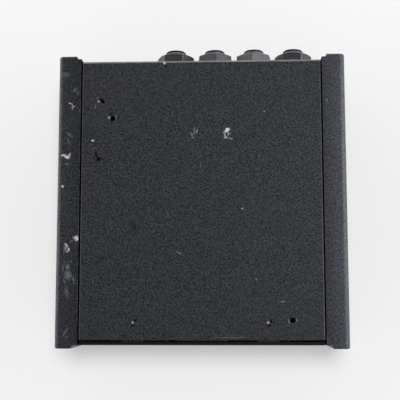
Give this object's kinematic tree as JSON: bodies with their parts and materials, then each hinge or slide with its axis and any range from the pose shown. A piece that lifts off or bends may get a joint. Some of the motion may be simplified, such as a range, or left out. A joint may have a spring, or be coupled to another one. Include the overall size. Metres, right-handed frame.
{
  "type": "direct injection box",
  "caption": "Dual passive direct box: folded steel shell between two side rails, quarter-inch jacks on one panel, three-pin outputs on the other, sliding pad and ground switches.",
  "frame": {"origin": "on the surface that the box lies on, midway between the side rails and at half their length", "axes": "+Z out of the plain face seen in the picture, +Y towards the quarter-inch jacks, +X to the right with the jacks at the far side"},
  "size_m": [0.1344, 0.1427, 0.046],
  "materials": {
    "rail_paint": "black paint, smooth satin, chipped",
    "sheet_powder_coat": "black fine-textured powder coat",
    "zinc_steel": "zinc plated",
    "rivet_metal": "plain",
    "screw_black": "black oxide",
    "jack_plastic": "moulded black",
    "washer_metal": "darkened steel",
    "nut_plastic": "moulded black, satin",
    "spring_metal": "plated spring metal",
    "socket_shell": "black coated die casting",
    "insert_plastic": "moulded black",
    "pin_metal": "silver plated",
    "switch_base": "brown laminate",
    "slider_plastic": "moulded black, ribbed",
    "board_green": "green solder mask",
    "brass_post": "turned",
    "core_steel": "laminated",
    "winding_tape": "yellow tape",
    "shield_can": "drawn can",
    "carrier_plastic": "moulded",
    "resistor_body": "lacquered",
    "capacitor_body": "red film capacitor",
    "header_plastic": "white nylon",
    "wire_insulation": "flexible insulation"
  },
  "bodies": {
    "case": {"right_side_rail": "rail_paint", "left_side_rail": "rail_paint", "folded_sheet_with_jack_panel": "sheet_powder_coat", "folded_sheet_with_output_panel": "sheet_powder_coat", "inner_angle_brackets": "zinc_steel", "bracket_rivets": "rivet_metal", "jack_panel_screws": "screw_black", "output_panel_screws": "screw_black", "output_socket_screws": "screw_black", "pad_switch_screws": "screw_black", "ground_lift_switch_screws": "screw_black", "bracket_screws": "screw_black", "input_1_jack_body": "jack_plastic", "thru_1_jack_body": "jack_plastic", "input_2_jack_body": "jack_plastic", "thru_2_jack_body": "jack_plastic", "jack_washers": "washer_metal", "jack_hex_nuts": "nut_plastic", "jack_tip_springs": "spring_metal", "jack_sleeve_springs": "spring_metal", "output_1_socket_shell": "socket_shell", "output_2_socket_shell": "socket_shell", "output_socket_inserts": "insert_plastic", "output_socket_pins": "pin_metal", "pad_switch_frames": "zinc_steel", "pad_switch_bases": "switch_base", "ground_lift_switch_frames": "zinc_steel", "ground_lift_switch_bases": "switch_base", "circuit_board": "board_green", "board_posts": "brass_post", "board_screws": "zinc_steel", "transformer_cores": "core_steel", "transformer_windings": "winding_tape", "transformer_shield_cans": "shield_can", "transformer_carriers": "carrier_plastic", "pad_resistors": "resistor_body", "film_capacitors": "capacitor_body", "wire_headers": "header_plastic", "output_1_wires": "wire_insulation", "output_2_wires": "wire_insulation", "pad_switch_wires": "wire_insulation"},
    "pad_switch_1": {"pad_1_slider": "slider_plastic"},
    "pad_switch_2": {"pad_2_slider": "slider_plastic"},
    "ground_lift_switch_1": {"ground_lift_1_slider": "slider_plastic"},
    "ground_lift_switch_2": {"ground_lift_2_slider": "slider_plastic"}
  },
  "joints": [
    {"name": "pad_1_slide", "type": "slide", "parent": "case", "child": "pad_switch_1", "axis": [1, 0, 0], "range_m": [-0.0024, 0.0024]},
    {"name": "pad_2_slide", "type": "slide", "parent": "case", "child": "pad_switch_2", "axis": [1, 0, 0], "range_m": [-0.0024, 0.0024]},
    {"name": "ground_lift_1_slide", "type": "slide", "parent": "case", "child": "ground_lift_switch_1", "axis": [1, 0, 0], "range_m": [0, 0.0032]},
    {"name": "ground_lift_2_slide", "type": "slide", "parent": "case", "child": "ground_lift_switch_2", "axis": [1, 0, 0], "range_m": [0, 0.0032]}
  ]
}
